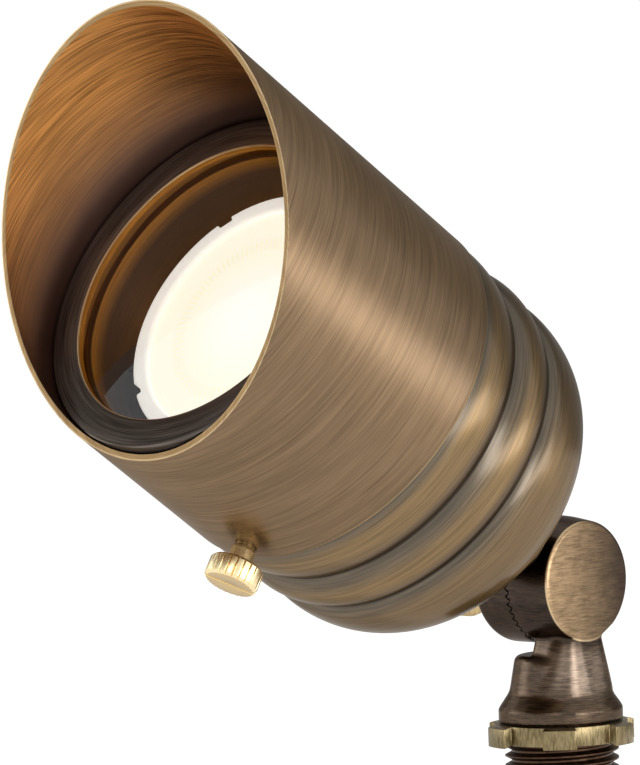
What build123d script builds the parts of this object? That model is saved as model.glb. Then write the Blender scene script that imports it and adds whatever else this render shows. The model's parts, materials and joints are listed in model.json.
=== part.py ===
from build123d import *
import os
from math import cos, pi, radians, sin, sqrt, tan

# Garden spotlight in turned and cast brass, in millimetres. +Z runs up the stem, and the origin is on the
# stem's axis where its free thread begins. The head tilts about X and aims towards -Y.

# Clearances
running_gap = 0.05  # radial, a piece that turns or slides in its bore
turning_gap = 0.1  # between flat faces that turn on each other
seat_gap = 0.1  # radial, a fixed round piece in its seat
braze_gap = 0.03  # radial, the nipple in the stem
cut_margin = 1.0  # how far a cut runs past what it cuts

# Threaded stem end and locknut
thread_radius = 10.65  # half-inch straight pipe thread, over its crests
thread_root_radius = 9.45
thread_length = 13.0
thread_lead_in = 0.8
nipple_tenon_radius = 7.6
nipple_tenon_length = 6.0
nipple_bore_radius = 6.0
nut_height = 4.0
nut_ring_height = 3.6
nut_ring_radius = 12.5
nut_lobe_radius = 14.2
nut_lobe_width = 5.8
nut_lobe_count = 6
nut_turn = 11.3  # where the first lobe stands, in degrees from +X
nut_face_gap = 0.25

# Tilt knuckle
pivot_above_flange = 26.3
split_plane = -1.8  # X of the toothed faces' middle
disc_radius = 12.0  # over the teeth
stem_face_radius = 11.2  # the blank face's edge
stem_disc_thickness = 9.56
stem_disc_edge = 0.4
stem_disc_waist = 3.6  # where the disc begins to narrow towards its face
stem_disc_round = 30.0
head_disc_thickness = 9.4
head_disc_edge = 2.6
tooth_count = 48
tooth_height = 0.95  # at the rim of the disc
tooth_gap = 0.25
tooth_land = 0.08  # share of the pitch left flat on a crest
pocket_radius = 6.6
pocket_depth = 4.4
boss_radius = 4.6
boss_setback = 0.5
neck_start = 9.0  # from the pivot
neck_half_width = 5.3
neck_face_setback = 0.45  # neck behind the disc's outer face
neck_corner = 0.38  # as a share of the neck's thickness
neck_inner_corner = 1.2
neck_relief = 0.75  # neck back from the split plane, clear of the other half's teeth
shoulder_distance = 13.9  # from the pivot
shoulder_radius = 8.2
shoulder_round = 1.4
foot_radius = 9.5
foot_corner = 0.8  # as a share of the foot's thickness
flange_radius = 11.64
flange_rim = 2.4
flange_slope = 3.1
wire_bore_radius = 2.4
wire_bore_setback = 4.0  # from the split plane, in each half
stem_cavity_depth = 3.5  # of the wire way, past the nipple
head_cavity_radius = 6.0
head_cavity_roof = 1.6

# Knuckle screw and washer
screw_radius = 3.0
screw_hole_gap = 0.3  # in the head half, which turns round the screw
screw_thread_depth = 4.6  # into the stem half, past its boss
screw_tip_gap = 0.6
washer_radius = 5.6
washer_thickness = 1.5
screw_neck_radius = 4.6
screw_neck_length = 8.6
screw_knob_radius = 7.85
screw_knob_thickness = 6.2
screw_knob_flutes = 32

# Head: stations are distances from the pivot along the head's axis
head_tilt = 34.12  # degrees above level
head_flange_end = 22.0
seal_thickness = 0.8
tenon_radius = 6.5
tenon_bore_radius = 3.6
tenon_tail = 1.4  # past the jam nut
jam_nut_height = 4.0
jam_nut_flats = 17.0
grommet_wall = 1.2
grommet_lip = 1.0
grommet_lip_thickness = 1.2
grommet_length = 5.0

# Housing: its walls are stacked outwards from the lamp
mouth_clearance = 2.9  # round the lamp's rim
nose_wall = 3.0
ring_wall = 2.7  # of the lens ring round the nose
spigot_wall = 2.5
crest_setback = 0.42  # tiers' crests below the shroud's outside
dome_setback = 0.95
front_edge_setback = 0.8
notch_depth = 1.5
dome_depth = 25.6  # of the whole dome, before its flat
dome_flat_depth = 1.5  # of the flat that is cut into the dome's end
dome_joint_angle = 52.0  # where the dome's tighter and flatter arcs meet
dome_front = 2.8
middle_tier_length = 10.4
front_tier_length = 10.56
spigot_length = 21.2
nose_length = 11.24
mouth_length = 15.0
dome_wall = 3.4
floor_setback = 13.2  # floor's edge in from the cavity's wall
floor_thickness = 5.1
pad_margin = 0.3

# Lens
lens_thickness = 3.0
gasket_thickness = 1.0
gasket_width = 1.2
lip_reach = 0.07  # past the mouth's wall
lip_thickness = 1.4

# Shroud
shroud_wall = 1.0
shroud_clearance = 0.34  # radial, on the spigot
shroud_rear_gap = 0.3
shroud_long = 75.0
shroud_short = 35.0
shroud_turn = 2.9  # degrees about the head's axis
oring_setback = 11.0  # from the shroud's rear edge
oring_width = 1.3
oring_depth = 0.5  # of its groove in the shroud's wall

# Thumb screw
thumb_setback = 3.84  # from the shroud's rear edge
thumb_radius = 1.75
thumb_collar_radius = 2.25
thumb_collar_gap = 0.5
thumb_knob_gap = 3.3  # shroud to knob
thumb_knob_radius = 5.0
thumb_knob_thickness = 4.2
thumb_knob_flutes = 24
thumb_turn = -48.3  # of its slot, from +X
flute_depth = 0.42
knob_bevel = 0.5
knob_slot_width = 0.8
knob_slot_depth = 1.1

# Lamp and its holder
lamp_setback = 9.2  # lamp's face behind the glass
lamp_radius = 25.3
bezel_width = 3.0
bezel_height = 3.4
bezel_notch_count = 4
bezel_notch_width = 3.2
bezel_notch_depth = 1.3
bezel_notch_turn = 38.0
optic_recess = 1.0  # of its edge below the bezel's face
optic_crown = 0.6
board_radius = 20.5
board_thickness = 1.6
board_gap = 1.0
lamp_wall = 1.8
lamp_body_length = 33.0
lamp_neck_radius = 10.0
lamp_base_radius = 8.5
lamp_base_length = 8.0
pin_radius = 0.75
pin_spacing = 5.33
pin_length = 7.0
pin_root = 3.0  # of each pin, inside the base
socket_radius = 10.0
socket_height = 11.0
contact_wall = 0.6
strap_width = 9.0
strap_thickness = 1.0
strap_leg_spread = 11.5  # from the axis to a leg's inner face
strap_foot_length = 4.6
strap_screw_radius = 1.25
strap_screw_depth = 3.0
strap_screw_head_radius = 2.1
strap_screw_head_height = 1.4

# Places worked out from the sizes above
nut_base = nut_face_gap
nut_top = nut_base + nut_height
flange_height = nut_top + nut_face_gap
pivot_height = flange_height + pivot_above_flange
pivot = (0, 0, pivot_height)
aim = (0, -cos(radians(head_tilt)), sin(radians(head_tilt)))

mouth_radius = lamp_radius + mouth_clearance
nose_radius = mouth_radius + nose_wall
spigot_radius = nose_radius + ring_wall
cavity_radius = spigot_radius - spigot_wall
floor_radius = cavity_radius - floor_setback
shroud_inner = spigot_radius + shroud_clearance
shroud_radius = shroud_inner + shroud_wall
crest_radius = shroud_radius - crest_setback
dome_radius = shroud_radius - dome_setback
front_edge_radius = shroud_radius - front_edge_setback
notch_radius = crest_radius - notch_depth
lip_radius = mouth_radius - lip_reach

pad_station = head_flange_end + seal_thickness
floor_station = pad_station + floor_thickness
dome_rise = dome_depth - dome_flat_depth  # from the flat to the dome's widest
dome_station = pad_station + dome_rise
rear_notch = dome_station + dome_front
front_notch = rear_notch + middle_tier_length
shoulder_station = front_notch + front_tier_length
spigot_end = shoulder_station + spigot_length
nose_end = spigot_end + nose_length
glass_back = nose_end + gasket_thickness
glass_front = glass_back + lens_thickness
ring_face = glass_front + lip_thickness
shroud_rear = shoulder_station + shroud_rear_gap
lamp_face = glass_back - lamp_setback
bezel_back = lamp_face - bezel_height
lamp_body_end = bezel_back - lamp_body_length
lamp_base_end = lamp_body_end - lamp_base_length
socket_back = lamp_base_end - socket_height

# Planes: each one's Z is the axis that its pieces are turned about
stem_down = Plane(origin=pivot, x_dir=(1, 0, 0), z_dir=(0, 0, -1))
knuckle = Plane(origin=(split_plane, 0, pivot_height), x_dir=(0, 1, 0), z_dir=(1, 0, 0))
head = Plane(origin=pivot, x_dir=(1, 0, 0), z_dir=aim)


def turn(plane, outline, rounds=(), mode=Mode.ADD):
    """Turn an outline of (radius, station) points about a plane's Z, with some of its corners rounded."""
    side = Plane(origin=plane.origin, x_dir=plane.x_dir, z_dir=-plane.y_dir)
    with BuildSketch(side) as section:
        with BuildLine():
            Polyline(*outline, close=True)
        make_face()
        for corner, radius in rounds:
            fillet(section.vertices().sort_by_distance(corner)[0], radius)
    revolve(section.sketch, axis=Axis(plane.origin, plane.z_dir), mode=mode)


def ring(plane, inner, outer, low, high):
    """Turn a square-edged ring between two radii and two stations."""
    turn(plane, [(inner, low), (outer, low), (outer, high), (inner, high)])


def drill(plane, radius, low, high, places=((0, 0),)):
    """Cut round holes at places on a plane, between two stations along its Z."""
    with BuildSketch(plane.offset(low)) as holes:
        with Locations(*places):
            Circle(radius)
    extrude(holes.sketch, amount=high - low, mode=Mode.SUBTRACT)


def tooth_crest(radius):
    """Distance of a tooth's crest from the split plane, into the other half."""
    return (tooth_height * radius / disc_radius - tooth_gap) / 2


def cut_teeth(side, phase):
    """Cut the disc's conical face into radial teeth that deepen towards the rim, on one side of the split."""
    sections = []
    for radius in (pocket_radius - cut_margin, disc_radius + cut_margin):
        depth = tooth_height * radius / disc_radius
        half_groove = pi * radius / tooth_count * (1 - tooth_land)
        root = side * (depth + tooth_gap) / 2
        mouth = root - side * 2 * depth
        station = Plane(origin=(radius, 0, 0), x_dir=(0, 1, 0), z_dir=(1, 0, 0))
        with BuildSketch(station) as groove_section:
            with BuildLine():
                Polyline((0, root), (2 * half_groove, mouth), (-2 * half_groove, mouth), close=True)
            make_face()
        sections.append(groove_section.sketch.face())
    groove = loft(sections, ruled=True, mode=Mode.PRIVATE)
    with Locations(knuckle.location):
        with PolarLocations(0, tooth_count, start_angle=phase):
            add(groove, mode=Mode.SUBTRACT)


def knuckle_foot(plane, flange_end):
    """Turn the tapered base with its shoulder and flange, out to a distance from the pivot."""
    rim_start = flange_end - flange_rim
    foot = rim_start - flange_slope
    outline = [(0, shoulder_distance), (shoulder_radius, shoulder_distance), (foot_radius, foot)]
    outline += [(flange_radius, rim_start), (flange_radius, flange_end), (0, flange_end)]
    turn(plane, outline, [((shoulder_radius, shoulder_distance), shoulder_round)])


def knuckle_neck(plane, side, disc_thickness, foot):
    """Loft the neck on one side of the split plane, from the disc down to the round foot."""
    inner = split_plane + side * neck_relief
    disc_side = split_plane + side * (disc_thickness - neck_face_setback)
    foot_side = side * foot_radius
    sections = []
    sizes = [(neck_start, disc_side, neck_half_width, neck_corner)]
    sizes += [(foot, foot_side, foot_radius, foot_corner)]
    for distance, outer, half_width, corner in sizes:
        with BuildSketch(plane.offset(distance)) as section:
            with Locations(((inner + outer) / 2, 0)):
                Rectangle(abs(outer - inner), 2 * half_width)
            towards_split = Axis.X.reverse() if side > 0 else Axis.X
            fillet(section.vertices().group_by(towards_split)[0], corner * abs(outer - inner))
            fillet(section.vertices().group_by(towards_split)[-1], neck_inner_corner)
        sections.append(section.sketch.face())
    loft(sections)


def knurled_knob(plane, radius, low, high, flutes, turned=0):
    """Turn a bevelled knob between two stations, flute its rim and slot its far face at an angle."""
    outline = [(0, low), (radius - knob_bevel, low), (radius, low + knob_bevel)]
    outline += [(radius, high - knob_bevel), (radius - knob_bevel, high), (0, high)]
    turn(plane, outline)
    with BuildSketch(plane.offset(low)) as rim:
        with PolarLocations(radius, flutes):
            Rectangle(flute_depth * sqrt(2), flute_depth * sqrt(2), rotation=45)
    extrude(rim.sketch, amount=high - low, mode=Mode.SUBTRACT)
    with BuildSketch(plane.offset(high)) as slot:
        Rectangle(2 * (radius + flute_depth), knob_slot_width, rotation=turned)
    extrude(slot.sketch, amount=-knob_slot_depth, mode=Mode.SUBTRACT)


def save(piece, name):
    """Label a finished piece and write it under its own name."""
    piece.part.label = name
    export_step(piece.part, f"parts/{name}.step")


os.makedirs("parts", exist_ok=True)

# Threaded nipple: plain over the thread's crests, necked down where the locknut runs, brazed into the stem
nipple_top = flange_height + nipple_tenon_length
with BuildPart() as threaded_nipple:
    nipple_outline = [(nipple_bore_radius, -thread_length), (thread_radius - thread_lead_in, -thread_length)]
    nipple_outline += [(thread_radius, thread_lead_in - thread_length), (thread_radius, 0)]
    nipple_outline += [(thread_root_radius, 0), (thread_root_radius, flange_height)]
    nipple_outline += [(nipple_tenon_radius, flange_height), (nipple_tenon_radius, nipple_top)]
    nipple_outline += [(nipple_bore_radius, nipple_top)]
    turn(Plane.XY, nipple_outline)
save(threaded_nipple, "threaded_nipple")

# Locknut: a ring with lobes that are dished a little below it
with BuildPart() as locknut:
    with BuildSketch(Plane.XY.offset(nut_top - nut_ring_height)):
        Circle(nut_ring_radius)
    extrude(amount=nut_ring_height)
    with BuildSketch(Plane.XY.offset(nut_base)):
        with PolarLocations(nut_lobe_radius / 2, nut_lobe_count, start_angle=nut_turn):
            Rectangle(nut_lobe_radius, nut_lobe_width)
        Circle(nut_lobe_radius, mode=Mode.INTERSECT)
    extrude(amount=nut_ring_height)
    drill(Plane.XY, thread_root_radius + running_gap, nut_base, nut_top)
save(locknut, "locknut")

# Stem knuckle: flange and tapered foot, offset neck and the toothed disc with its blank outer face
stem_foot = pivot_above_flange - flange_rim - flange_slope
screw_hole_end = boss_setback + screw_thread_depth
with BuildPart() as stem_knuckle:
    disc_outline = [(0, stem_disc_thickness), (stem_face_radius - stem_disc_edge, stem_disc_thickness)]
    disc_outline += [(stem_face_radius, stem_disc_thickness - stem_disc_edge), (disc_radius, stem_disc_waist)]
    disc_outline += [(disc_radius, -tooth_crest(disc_radius)), (pocket_radius, -tooth_crest(pocket_radius))]
    disc_outline += [(pocket_radius, pocket_depth), (boss_radius, pocket_depth), (boss_radius, boss_setback)]
    disc_outline += [(screw_radius + running_gap, boss_setback), (screw_radius + running_gap, screw_hole_end)]
    disc_outline += [(0, screw_hole_end)]
    turn(knuckle, disc_outline, [((disc_radius, stem_disc_waist), stem_disc_round)])
    knuckle_neck(stem_down, 1, stem_disc_thickness, stem_foot)
    knuckle_foot(stem_down, pivot_above_flange)
    tenon_socket = pivot_above_flange - nipple_tenon_length
    drill(stem_down, nipple_tenon_radius + braze_gap, tenon_socket, pivot_above_flange)
    drill(stem_down, nipple_bore_radius, tenon_socket - stem_cavity_depth, tenon_socket)
    wire_place = (split_plane + wire_bore_setback, 0)
    drill(stem_down, wire_bore_radius, boss_radius, tenon_socket, [wire_place])
    cut_teeth(1, 0)
save(stem_knuckle, "stem_knuckle")

# Head knuckle: the other toothed half, with a foot on the housing's flat and a hollow tenon through it
tenon_end = floor_station + jam_nut_height + tenon_tail
head_foot = head_flange_end - flange_rim - flange_slope
screw_hole_radius = screw_radius + screw_hole_gap
with BuildPart() as head_knuckle:
    disc_outline = [(screw_hole_radius, -head_disc_thickness), (disc_radius, -head_disc_thickness)]
    disc_outline += [(disc_radius, tooth_crest(disc_radius)), (pocket_radius, tooth_crest(pocket_radius))]
    disc_outline += [(pocket_radius, -pocket_depth), (screw_hole_radius, -pocket_depth)]
    turn(knuckle, disc_outline, [((disc_radius, -head_disc_thickness), head_disc_edge)])
    knuckle_neck(head, -1, head_disc_thickness, head_foot)
    knuckle_foot(head, head_flange_end)
    ring(head, tenon_bore_radius, tenon_radius, head_flange_end, tenon_end)
    cavity_start = shoulder_distance + head_cavity_roof
    drill(head, head_cavity_radius, cavity_start, head_foot)
    drill(head, tenon_bore_radius, head_foot, tenon_end)
    wire_place = (split_plane - wire_bore_setback, 0)
    drill(head, wire_bore_radius, boss_radius, head_foot, [wire_place])
    cut_teeth(-1, 180 / tooth_count)
save(head_knuckle, "head_knuckle")

# Knuckle washer and screw, which goes through the head half into the stem half
screw_side = Plane(origin=(split_plane, 0, pivot_height), x_dir=(0, 1, 0), z_dir=(-1, 0, 0))
washer_end = head_disc_thickness + washer_thickness
with BuildPart() as knuckle_washer:
    ring(screw_side, screw_hole_radius, washer_radius, head_disc_thickness, washer_end)
save(knuckle_washer, "knuckle_washer")

screw_shoulder = washer_end + turning_gap
screw_knob_start = screw_shoulder + screw_neck_length
with BuildPart() as knuckle_screw:
    ring(screw_side, 0, screw_radius, screw_tip_gap - screw_hole_end, screw_shoulder)
    ring(screw_side, 0, screw_neck_radius, screw_shoulder, screw_knob_start)
    screw_knob_end = screw_knob_start + screw_knob_thickness
    knurled_knob(screw_side, screw_knob_radius, screw_knob_start, screw_knob_end, screw_knob_flutes)
save(knuckle_screw, "knuckle_screw")

# Seal, jam nut and grommet where the head knuckle's tenon enters the housing
with BuildPart() as knuckle_seal:
    ring(head, tenon_radius + seat_gap, flange_radius, head_flange_end, pad_station)
save(knuckle_seal, "knuckle_seal")

with BuildPart() as knuckle_jam_nut:
    with BuildSketch(head.offset(floor_station)):
        RegularPolygon(jam_nut_flats / 2, 6, major_radius=False)
        Circle(tenon_radius + seat_gap, mode=Mode.SUBTRACT)
    extrude(amount=jam_nut_height)
save(knuckle_jam_nut, "knuckle_jam_nut")

grommet_radius = tenon_bore_radius - seat_gap
with BuildPart() as wire_grommet:
    ring(head, grommet_radius - grommet_wall, grommet_radius, tenon_end - grommet_length, tenon_end)
    lip_end = tenon_end + grommet_lip_thickness
    ring(head, grommet_radius - grommet_wall, tenon_bore_radius + grommet_lip, tenon_end, lip_end)
save(wire_grommet, "wire_grommet")

# Housing: domed back, three rounded tiers, a plain spigot for the shroud, a nose for the lens ring
head_side = Plane(origin=pivot, x_dir=head.x_dir, z_dir=-head.y_dir)
cavity_bulge = (cavity_radius + floor_radius) / 2 + dome_wall
joint_angle = radians(dome_joint_angle)
joint_share = (1 - sin(joint_angle)) / cos(joint_angle)
cheek_radius = (dome_depth - dome_radius * joint_share) / (1 - joint_share)
crown_radius = dome_depth + (dome_radius - cheek_radius) * tan(joint_angle)
cheek_centre = dome_radius - cheek_radius


def on_cheek(angle):
    """Point on the dome's tighter arc, at an angle back from its widest."""
    return (cheek_centre + cheek_radius * cos(angle), dome_station - cheek_radius * sin(angle))


def on_crown(angle):
    """Point on the dome's flatter arc, at the same kind of angle."""
    return (crown_radius * cos(angle), dome_station - dome_depth + crown_radius * (1 - sin(angle)))


dome_apex = (0, dome_station - dome_depth)
dome_joint = on_cheek(joint_angle)
dome_cheek = on_cheek(joint_angle / 2)
dome_crown = on_crown((joint_angle + pi / 2) / 2)
with BuildPart() as housing:
    with BuildSketch(head_side):
        with BuildLine():
            ThreePointArc(dome_apex, dome_crown, dome_joint)
            ThreePointArc(dome_joint, dome_cheek, (dome_radius, dome_station))
            TangentArc((dome_radius, dome_station), (notch_radius, rear_notch), tangent=(0, 1))
            middle_crest = (crest_radius, (rear_notch + front_notch) / 2)
            ThreePointArc((notch_radius, rear_notch), middle_crest, (notch_radius, front_notch))
            front_crest = (crest_radius, (front_notch + shoulder_station) / 2)
            ThreePointArc((notch_radius, front_notch), front_crest, (front_edge_radius, shoulder_station))
            Polyline(
                (front_edge_radius, shoulder_station),
                (spigot_radius, shoulder_station),
                (spigot_radius, spigot_end),
                (nose_radius, spigot_end),
                (nose_radius, nose_end),
                (0, nose_end),
                (0, dome_station - dome_depth),
            )
        make_face()
    revolve(axis=Axis(pivot, aim))
    with BuildSketch(head_side):
        with BuildLine():
            cavity_rim = (cavity_radius, dome_station)
            cavity_middle = (cavity_bulge, dome_station - dome_rise / 2)
            cavity_floor = (floor_radius, floor_station)
            ThreePointArc(cavity_rim, cavity_middle, cavity_floor)
            Polyline(
                cavity_floor,
                (0, floor_station),
                (0, nose_end),
                (mouth_radius, nose_end),
                (mouth_radius, nose_end - mouth_length),
                (cavity_radius, nose_end - mouth_length),
                cavity_rim,
            )
        make_face()
    revolve(axis=Axis(pivot, aim), mode=Mode.SUBTRACT)
    drill(head, flange_radius + pad_margin, dome_station - dome_depth - cut_margin, pad_station)
    drill(head, tenon_radius + seat_gap, pad_station, floor_station)
    strap_screw_offset = strap_leg_spread + strap_thickness + strap_foot_length / 2
    screw_places = [(strap_screw_offset, 0), (-strap_screw_offset, 0)]
    drill(head, strap_screw_radius + seat_gap, floor_station - strap_screw_depth, floor_station, screw_places)
save(housing, "housing")

# Lens: gasket on the housing's nose, glass, and the ring that screws over both
pocket_wall = nose_radius + seat_gap
with BuildPart() as lens_gasket:
    ring(head, nose_radius - gasket_width, nose_radius, nose_end, glass_back)
save(lens_gasket, "lens_gasket")

with BuildPart() as cover_lens:
    ring(head, 0, nose_radius, glass_back, glass_front)
save(cover_lens, "cover_lens")

with BuildPart() as lens_retainer:
    retainer_outline = [(pocket_wall, spigot_end), (spigot_radius, spigot_end), (spigot_radius, ring_face)]
    retainer_outline += [(lip_radius, ring_face), (lip_radius, glass_front), (pocket_wall, glass_front)]
    turn(head, retainer_outline)
save(lens_retainer, "lens_retainer")

# Shroud: a tube cut off on a slant, long side up, with a groove inside for its ring
shroud_frame = head.rotated((0, 0, shroud_turn))
oring_station = shroud_rear + oring_setback
rim_slope = (shroud_long - shroud_short) / (2 * shroud_radius)
rim_middle = shroud_rear + (shroud_long + shroud_short) / 2
rim_normal = shroud_frame.z_dir - shroud_frame.y_dir * rim_slope
rim_plane = Plane(origin=shroud_frame.from_local_coords((0, 0, rim_middle)), z_dir=rim_normal)
groove_half = oring_width / 2 + running_gap
with BuildPart() as shroud:
    shroud_end = shroud_rear + shroud_long + shroud_wall
    tube_outline = [(shroud_inner, shroud_rear), (shroud_radius, shroud_rear), (shroud_radius, shroud_end)]
    tube_outline += [(shroud_inner, shroud_end), (shroud_inner, oring_station + groove_half)]
    tube_outline += [(shroud_inner + oring_depth, oring_station + groove_half)]
    tube_outline += [(shroud_inner + oring_depth, oring_station - groove_half)]
    tube_outline += [(shroud_inner, oring_station - groove_half)]
    turn(head, tube_outline)
    split(bisect_by=rim_plane, keep=Keep.BOTTOM)
    thumb_plane = Plane(
        origin=head.from_local_coords((0, 0, shroud_rear + thumb_setback)),
        x_dir=(1, 0, 0),
        z_dir=-head.y_dir,
    )
    drill(thumb_plane, thumb_radius + running_gap, spigot_radius, shroud_radius + shroud_wall)
save(shroud, "shroud")

with BuildPart() as shroud_oring:
    oring_low = oring_station - oring_width / 2
    oring_outer = shroud_inner + oring_depth - running_gap
    ring(head, spigot_radius + running_gap, oring_outer, oring_low, oring_low + oring_width)
save(shroud_oring, "shroud_oring")

# Thumb screw: its tip bears on the spigot, and its knob stands off the shroud on a collar
knob_start = shroud_radius + thumb_knob_gap
with BuildPart() as thumb_screw:
    ring(thumb_plane, 0, thumb_radius, spigot_radius + running_gap, knob_start)
    ring(thumb_plane, 0, thumb_collar_radius, shroud_radius + thumb_collar_gap, knob_start)
    knob_end = knob_start + thumb_knob_thickness
    knurled_knob(thumb_plane, thumb_knob_radius, knob_start, knob_end, thumb_knob_flutes, thumb_turn)
save(thumb_screw, "thumb_screw")

# Lamp: notched bezel, optic, board, tapered shell, pin base and pins
bezel_inner = lamp_radius - bezel_width
with BuildPart() as lamp_bezel:
    ring(head, bezel_inner, lamp_radius, bezel_back, lamp_face)
    with BuildSketch(head.offset(bezel_back)):
        with PolarLocations(lamp_radius, bezel_notch_count, start_angle=bezel_notch_turn):
            Rectangle(2 * bezel_notch_depth, bezel_notch_width)
    extrude(amount=bezel_height, mode=Mode.SUBTRACT)
save(lamp_bezel, "lamp_bezel")

optic_radius = bezel_inner - seat_gap
optic_edge = lamp_face - optic_recess
with BuildPart() as lamp_optic:
    with BuildSketch(head_side):
        with BuildLine():
            crown = (0, optic_edge + optic_crown)
            ThreePointArc((-optic_radius, optic_edge), crown, (optic_radius, optic_edge))
            Polyline(
                (optic_radius, optic_edge),
                (optic_radius, bezel_back),
                (-optic_radius, bezel_back),
                (-optic_radius, optic_edge),
            )
        make_face()
        split(bisect_by=Plane.YZ)
    revolve(axis=Axis(pivot, aim))
save(lamp_optic, "lamp_optic")

board_front = bezel_back - board_gap
with BuildPart() as lamp_board:
    ring(head, 0, board_radius, board_front - board_thickness, board_front)
save(lamp_board, "lamp_board")

board_seat = board_front - board_thickness
with BuildPart() as lamp_body:
    shell_outline = [(lamp_radius, bezel_back), (lamp_neck_radius, lamp_body_end), (0, lamp_body_end)]
    shell_floor = lamp_body_end + lamp_wall
    shell_outline += [(0, shell_floor), (lamp_neck_radius - lamp_wall, shell_floor)]
    shell_outline += [(board_radius - lamp_wall, board_seat), (board_radius + seat_gap, board_seat)]
    shell_outline += [(bezel_inner + seat_gap, bezel_back)]
    turn(head, shell_outline)
save(lamp_body, "lamp_body")

pin_places = [(pin_spacing / 2, 0), (-pin_spacing / 2, 0)]
with BuildPart() as lamp_base:
    ring(head, 0, lamp_base_radius, lamp_base_end, lamp_body_end)
    drill(head, pin_radius, lamp_base_end, lamp_base_end + pin_root, pin_places)
save(lamp_base, "lamp_base")

with BuildPart() as lamp_pins:
    with BuildSketch(head.offset(lamp_base_end - pin_length)):
        with Locations(*pin_places):
            Circle(pin_radius)
    extrude(amount=pin_length + pin_root)
save(lamp_pins, "lamp_pins")

# Lamp holder with its contact sleeves, on a bent strap that is screwed to the housing's floor
sleeve_radius = pin_radius + running_gap + contact_wall
with BuildPart() as lamp_socket:
    ring(head, 0, socket_radius, socket_back, lamp_base_end)
    drill(head, sleeve_radius, lamp_base_end - pin_length - contact_wall, lamp_base_end, pin_places)
save(lamp_socket, "lamp_socket")

with BuildPart() as socket_contacts:
    with BuildSketch(head.offset(lamp_base_end - pin_length - contact_wall)):
        with Locations(*pin_places):
            Circle(sleeve_radius)
    extrude(amount=pin_length + contact_wall)
    drill(head, pin_radius + running_gap, lamp_base_end - pin_length, lamp_base_end, pin_places)
save(socket_contacts, "socket_contacts")

strap_outer = strap_leg_spread + strap_thickness
foot_end = strap_outer + strap_foot_length
foot_top = floor_station + strap_thickness
with BuildPart() as socket_bracket:
    with BuildSketch(head_side):
        with BuildLine():
            Polyline(
                (-foot_end, floor_station),
                (-strap_leg_spread, floor_station),
                (-strap_leg_spread, socket_back - strap_thickness),
                (strap_leg_spread, socket_back - strap_thickness),
                (strap_leg_spread, floor_station),
                (foot_end, floor_station),
                (foot_end, foot_top),
                (strap_outer, foot_top),
                (strap_outer, socket_back),
                (-strap_outer, socket_back),
                (-strap_outer, foot_top),
                (-foot_end, foot_top),
                close=True,
            )
        make_face()
    extrude(amount=strap_width / 2, both=True)
    drill(head, strap_screw_radius + seat_gap, floor_station, foot_top, screw_places)
save(socket_bracket, "socket_bracket")

with BuildPart() as socket_screws:
    with BuildSketch(head.offset(floor_station - strap_screw_depth)):
        with Locations(*screw_places):
            Circle(strap_screw_radius)
    extrude(amount=strap_screw_depth + strap_thickness)
    with BuildSketch(head.offset(foot_top)):
        with Locations(*screw_places):
            Circle(strap_screw_head_radius)
    extrude(amount=strap_screw_head_height)
save(socket_screws, "socket_screws")
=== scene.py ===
# %% [markdown]
# A garden spotlight in antique brass, dressed for a studio picture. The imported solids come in
# first, as a fixed frame: they say where every piece sits and which body it moves with. Each
# visible piece is then modelled again with finer edges, or keeps its solid and gets a finish made
# of nodes.

# %% Load the frame
import json
from math import atan2, cos, degrees, pi, radians, sin, sqrt, tan

import bpy
from mathutils import Matrix, Vector


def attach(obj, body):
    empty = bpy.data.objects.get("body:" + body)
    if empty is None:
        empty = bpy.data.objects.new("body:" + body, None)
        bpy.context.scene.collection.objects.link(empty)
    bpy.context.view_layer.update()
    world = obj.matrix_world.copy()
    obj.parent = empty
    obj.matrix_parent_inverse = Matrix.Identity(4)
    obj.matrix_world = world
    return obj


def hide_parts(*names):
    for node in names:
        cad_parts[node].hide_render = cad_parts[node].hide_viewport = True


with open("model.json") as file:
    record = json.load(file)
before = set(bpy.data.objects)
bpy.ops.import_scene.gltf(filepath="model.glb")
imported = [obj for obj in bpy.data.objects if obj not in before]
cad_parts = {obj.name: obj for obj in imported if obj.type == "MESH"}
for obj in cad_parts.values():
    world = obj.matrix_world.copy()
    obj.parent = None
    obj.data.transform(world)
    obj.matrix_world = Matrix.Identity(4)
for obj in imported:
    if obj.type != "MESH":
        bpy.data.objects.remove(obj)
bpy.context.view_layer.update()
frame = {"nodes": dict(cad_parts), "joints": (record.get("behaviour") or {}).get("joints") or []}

# %% [markdown]
# Everything on the head is turned about one slanted axis, so its pieces are drawn upright on a
# lathe of their own, in millimetres along Z, and then laid into place by one matrix. The packed
# joints give that axis: the tilt joint holds the pivot, and the shroud's slide runs along the aim.
# Typing the angles in again would also work, but then two places would have to agree.

# %% Find the head's axis
mm = 0.001
joints = {joint["name"]: joint for joint in frame["joints"]}
pivot = Vector(joints["head_tilt"]["pos_m"])
aim = Vector(joints["shroud_slide"]["axis"]).normalized()
across = Vector((1, 0, 0))
straight_up = Vector((0, 0, 1))
head_up = aim.cross(across)
head_turn = Matrix((across, head_up, aim)).transposed()
head_place = Matrix.Translation(pivot) @ head_turn.to_4x4()
stem_place = Matrix.Identity(4)
aim_rise = degrees(atan2(aim.z, -aim.y))
print("pivot at", [round(v, 4) for v in pivot], "aim up by", round(aim_rise, 2), "degrees")

# %% [markdown]
# A few moves repeat for every piece, so they become helpers. An operator works on whatever is
# selected, and the import leaves the solids selected, so the first helper picks exactly one
# object. The others apply a modifier, cut one piece out of another, hand faces a material by where
# they are, round off edges, and lay a finished piece into the frame with its place in its mesh.

# %% Helpers for picking, shaping and placing
def pick(piece):
    bpy.ops.object.select_all(action="DESELECT")
    piece.select_set(True)
    bpy.context.view_layer.objects.active = piece


def modify(piece, kind, **settings):
    pick(piece)
    modifier = piece.modifiers.new(kind.title(), kind)
    for name, value in settings.items():
        setattr(modifier, name, value)
    bpy.ops.object.modifier_apply(modifier=modifier.name)


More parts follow.
